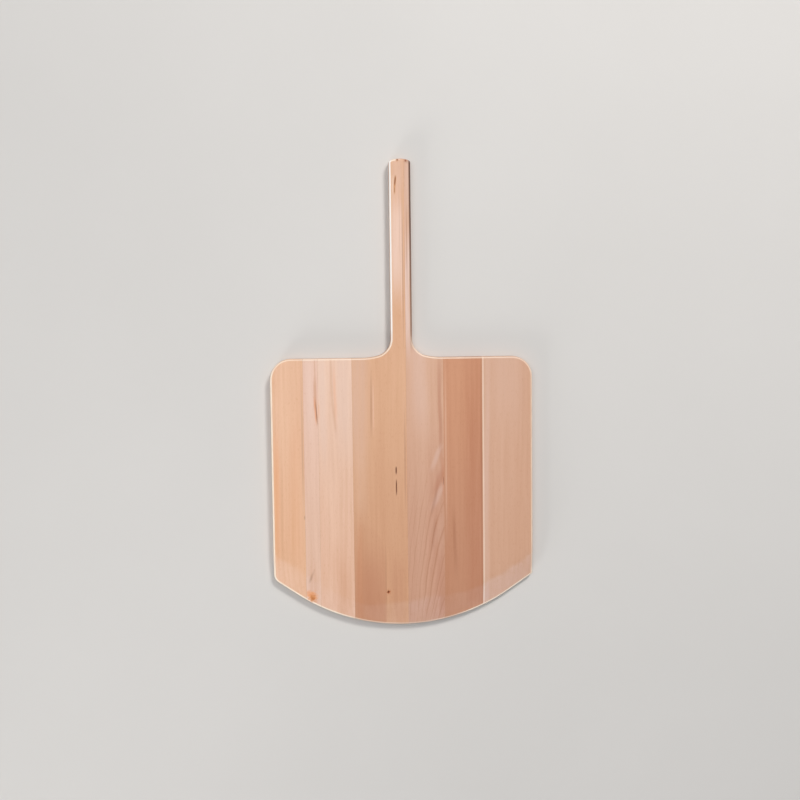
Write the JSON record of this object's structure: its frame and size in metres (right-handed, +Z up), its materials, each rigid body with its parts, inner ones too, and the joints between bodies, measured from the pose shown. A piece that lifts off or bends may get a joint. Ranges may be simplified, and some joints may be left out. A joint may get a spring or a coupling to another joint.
{
  "type": "pizza peel",
  "caption": "Wooden pizza peel of edge-glued staves: a broad flat blade with an arched, tapered front edge and a straight handle sawn from its middle staves.",
  "frame": {"origin": "bottom centre of the whole peel's bounding box, on the surface it lies on", "axes": "+Y along the peel from its front edge to the handle's end, +Z up out of the carrying face, +X to its right seen from above"},
  "size_m": [0.356, 0.6339, 0.015],
  "materials": {
    "left_edge_wood": "satin",
    "left_narrow_wood": "satin",
    "left_inner_wood": "satin",
    "handle_left_wood": "satin",
    "handle_right_wood": "satin",
    "right_inner_wood": "satin",
    "right_edge_wood": "satin",
    "dried_glue": "matte"
  },
  "bodies": {
    "root": {"left_edge_stave": "left_edge_wood", "left_narrow_stave": "left_narrow_wood", "left_inner_stave": "left_inner_wood", "handle_left_stave": "handle_left_wood", "handle_right_stave": "handle_right_wood", "right_inner_stave": "right_inner_wood", "right_edge_stave": "right_edge_wood", "left_edge_glue_line": "dried_glue", "left_narrow_glue_line": "dried_glue", "left_inner_glue_line": "dried_glue", "handle_glue_line": "dried_glue", "right_inner_glue_line": "dried_glue", "right_edge_glue_line": "dried_glue"}
  },
  "joints": []
}
